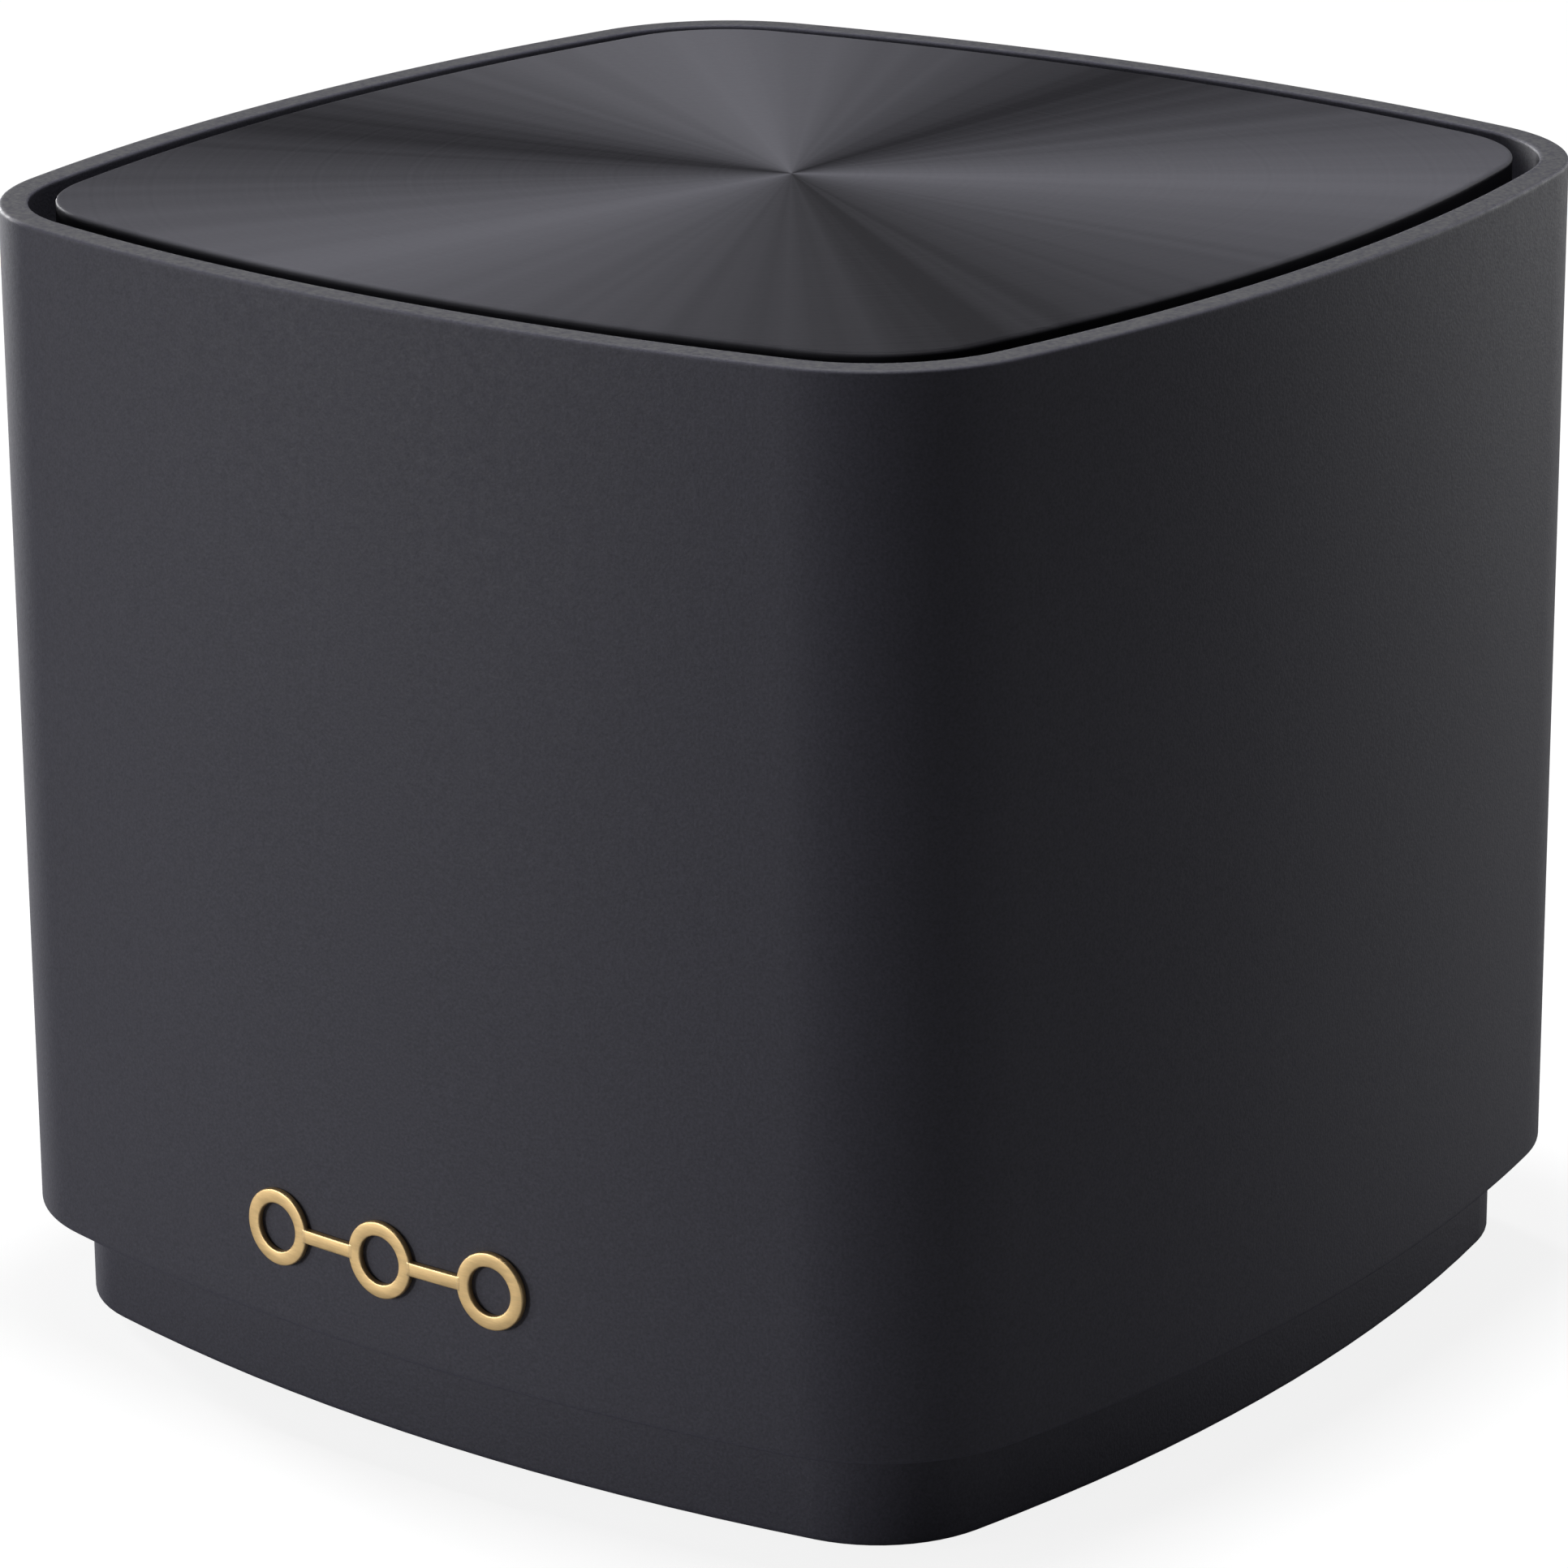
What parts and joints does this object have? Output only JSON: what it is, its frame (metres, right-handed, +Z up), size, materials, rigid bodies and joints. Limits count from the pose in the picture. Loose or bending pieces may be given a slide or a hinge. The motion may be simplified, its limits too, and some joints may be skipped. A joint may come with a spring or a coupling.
{
  "type": "mesh wifi node",
  "caption": "Compact square tower wifi node with bulged sides, a floating lid over a ring-shaped air outlet, a recessed base and network and power sockets at the back.",
  "frame": {"origin": "centre of the rubber ring that the node stands on, at table height", "axes": "+Z up, -Y to the front with the badge, +Y to the back with the sockets, +X to the right seen from the front"},
  "size_m": [0.09, 0.0904, 0.0801],
  "materials": {
    "charcoal_plastic": "fine grain, matte",
    "lid_plastic": "fine circular brushing, satin",
    "black_plastic": "matte",
    "foot_rubber": "matte",
    "label_film": "matte film",
    "badge_gold": "satin gold",
    "board_green": "solder mask",
    "aluminium": "extruded, satin",
    "tinned_steel": "tinned",
    "gold_contacts": "gold plated",
    "chip_epoxy": "matte",
    "pad_silicone": "soft, matte",
    "capacitor_can": "satin can",
    "cable_jacket": "smooth",
    "brass_plug": "plated",
    "plunger_plastic": "matte",
    "clear_plastic": "clear, moulded",
    "screw_steel": "zinc plated"
  },
  "bodies": {
    "root": {"antenna_left_front": "board_green", "antenna_left_rear": "board_green", "antenna_right_front": "board_green", "antenna_right_rear": "board_green", "base_screws": "screw_steel", "base_shell": "charcoal_plastic", "bulk_capacitors": "capacitor_can", "carrier_screws": "screw_steel", "chip_pads": "pad_silicone", "coax_cable_left_front": "cable_jacket", "coax_cable_left_rear": "cable_jacket", "coax_cable_right_front": "cable_jacket", "coax_cable_right_rear": "cable_jacket", "coax_plugs": "brass_plug", "dc_jack_housing": "black_plastic", "dc_jack_pin": "tinned_steel", "dc_jack_spring": "tinned_steel", "foot_ring": "foot_rubber", "front_badge": "badge_gold", "heatsink": "aluminium", "heatsink_screws": "screw_steel", "inner_chassis": "black_plastic", "io_panel": "black_plastic", "lan_jack_contacts": "gold_contacts", "lan_jack_housing": "black_plastic", "lan_jack_shield": "tinned_steel", "lid_carrier": "black_plastic", "lid_screws": "screw_steel", "light_pipe": "clear_plastic", "main_board": "board_green", "memory_chips": "chip_epoxy", "outer_sleeve": "charcoal_plastic", "power_inductors": "chip_epoxy", "radio_chips": "chip_epoxy", "radio_shields": "tinned_steel", "rating_label": "label_film", "reset_switch_body": "black_plastic", "soc_chip": "chip_epoxy", "soc_shield": "tinned_steel", "status_led": "clear_plastic", "thermal_pads": "pad_silicone", "top_lid": "lid_plastic", "wan_jack_contacts": "gold_contacts", "wan_jack_housing": "black_plastic", "wan_jack_shield": "tinned_steel", "wps_switch_body": "black_plastic"},
    "pairing_button": {"wps_button": "black_plastic", "wps_switch_plunger": "plunger_plastic"},
    "reset_plunger": {"reset_switch_plunger": "plunger_plastic"}
  },
  "joints": [
    {"name": "pairing_press", "type": "slide", "parent": "root", "child": "pairing_button", "axis": [0, 0, 1], "range_m": [0, 0.0005], "stiffness_N_per_m": 3000},
    {"name": "reset_press", "type": "slide", "parent": "root", "child": "reset_plunger", "axis": [0, 0, 1], "range_m": [0, 0.0003], "stiffness_N_per_m": 4000}
  ]
}
